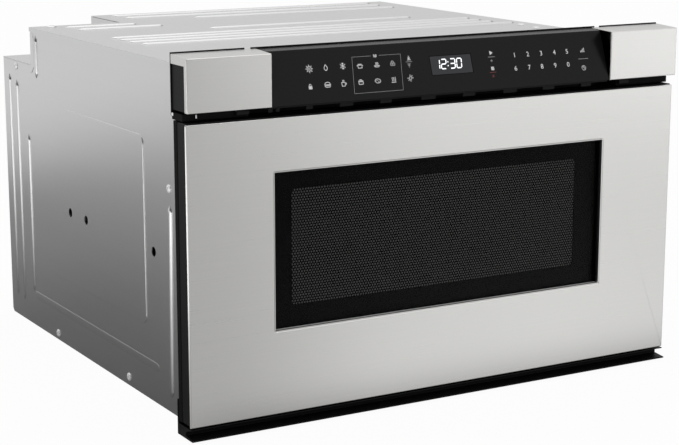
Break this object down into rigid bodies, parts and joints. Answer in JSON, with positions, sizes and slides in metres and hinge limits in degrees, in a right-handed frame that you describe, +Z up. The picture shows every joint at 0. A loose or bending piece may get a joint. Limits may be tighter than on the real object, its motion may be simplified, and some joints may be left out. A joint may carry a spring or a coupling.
{
  "type": "microwave drawer",
  "caption": "Under-counter microwave drawer: a windowed steel front and tub slide out of a sheet-metal body on telescopic rails with a rack drive, under a sloping touch control panel.",
  "frame": {"origin": "middle of the bounding box at the underside of the base pan", "axes": "+Z up, -Y to the front where the drawer opens, +X to the right seen from the front"},
  "size_m": [0.6064, 0.5998, 0.3918],
  "materials": {
    "galvanised_steel": "zinc-coated sheet steel",
    "brushed_steel": "horizontally brushed",
    "black_steel": "black painted sheet",
    "black_plastic": "fine matt",
    "panel_black": "satin black panel",
    "glass": "dark tinted glass",
    "cavity_paint": "grey epoxy paint",
    "ceramic": "smooth off-white",
    "rubber": "black",
    "zinc_steel": "bright zinc",
    "nylon": "natural white",
    "mica": "smooth sheet",
    "winding": "enamelled copper",
    "board": "green laminate"
  },
  "bodies": {
    "cabinet": {"base_pan": "galvanised_steel", "left_side_panel": "galvanised_steel", "right_side_panel": "galvanised_steel", "top_panel": "galvanised_steel", "rear_panel": "galvanised_steel", "rear_corner_cover": "galvanised_steel", "lamp_cover": "galvanised_steel", "air_duct": "galvanised_steel", "left_rail_support": "galvanised_steel", "right_rail_support": "galvanised_steel", "drive_motor_bracket": "galvanised_steel", "left_corner_trim": "brushed_steel", "right_corner_trim": "brushed_steel", "front_frame": "black_steel", "bottom_channel": "black_steel", "control_housing": "black_plastic", "display_module": "black_plastic", "touch_keypad": "black_plastic", "cord_gland": "black_plastic", "left_latch_switch": "black_plastic", "right_latch_switch": "black_plastic", "blower_housing": "black_plastic", "control_fascia": "panel_black", "display_lens": "glass", "oven_cavity": "cavity_paint", "cavity_lamp": "ceramic", "waveguide": "zinc_steel", "stirrer_motor": "zinc_steel", "magnetron": "zinc_steel", "capacitor": "zinc_steel", "blower_motor": "zinc_steel", "drive_motor": "zinc_steel", "left_slide_outer": "zinc_steel", "right_slide_outer": "zinc_steel", "stirrer_cover": "mica", "power_transformer": "winding", "control_board": "board", "filter_board": "board"},
    "drawer": {"door_skin": "brushed_steel", "door_frame": "black_plastic", "door_glass": "glass", "glass_gasket": "rubber", "choke_screen": "black_steel", "choke_cover": "black_plastic", "drawer_tub": "cavity_paint", "tub_tray": "ceramic", "gear_rack": "nylon", "left_slide_inner": "zinc_steel", "left_drawer_bracket": "galvanised_steel", "left_latch_hook": "nylon", "right_slide_inner": "zinc_steel", "right_drawer_bracket": "galvanised_steel", "right_latch_hook": "nylon"},
    "left_middle": {"left_slide_middle": "zinc_steel"},
    "right_middle": {"right_slide_middle": "zinc_steel"},
    "pinion": {"drive_pinion": "nylon"},
    "stirrer": {"stirrer_rotor": "zinc_steel"},
    "blower": {"blower_wheel": "nylon"}
  },
  "joints": [
    {"name": "drawer_slide", "type": "slide", "parent": "cabinet", "child": "drawer", "axis": [0, -1, 0], "range_m": [0, 0.381]},
    {"name": "left_middle_slide", "type": "slide", "parent": "cabinet", "child": "left_middle", "axis": [0, -1, 0], "range_m": [0, 0.1905]},
    {"name": "right_middle_slide", "type": "slide", "parent": "cabinet", "child": "right_middle", "axis": [0, -1, 0], "range_m": [0, 0.1905]},
    {"name": "pinion_turn", "type": "hinge", "parent": "cabinet", "child": "pinion", "pos_m": [0.21, -0.2291, 0.0417], "axis": [0, 0, -1], "range_deg": [0, 1092]},
    {"name": "stirrer_turn", "type": "hinge", "parent": "cabinet", "child": "stirrer", "pos_m": [0, -0.0401, 0.2697], "axis": [0, 0, 1], "continuous": true},
    {"name": "blower_turn", "type": "hinge", "parent": "cabinet", "child": "blower", "pos_m": [0.125, 0.2419, 0.2027], "axis": [1, 0, 0], "continuous": true}
  ],
  "couplings": [
    {"joint": "left_middle_slide", "follows": "drawer_slide", "ratio": 0.5},
    {"joint": "right_middle_slide", "follows": "drawer_slide", "ratio": 0.5},
    {"joint": "pinion_turn", "follows": "drawer_slide", "rad_per_m": 50}
  ]
}
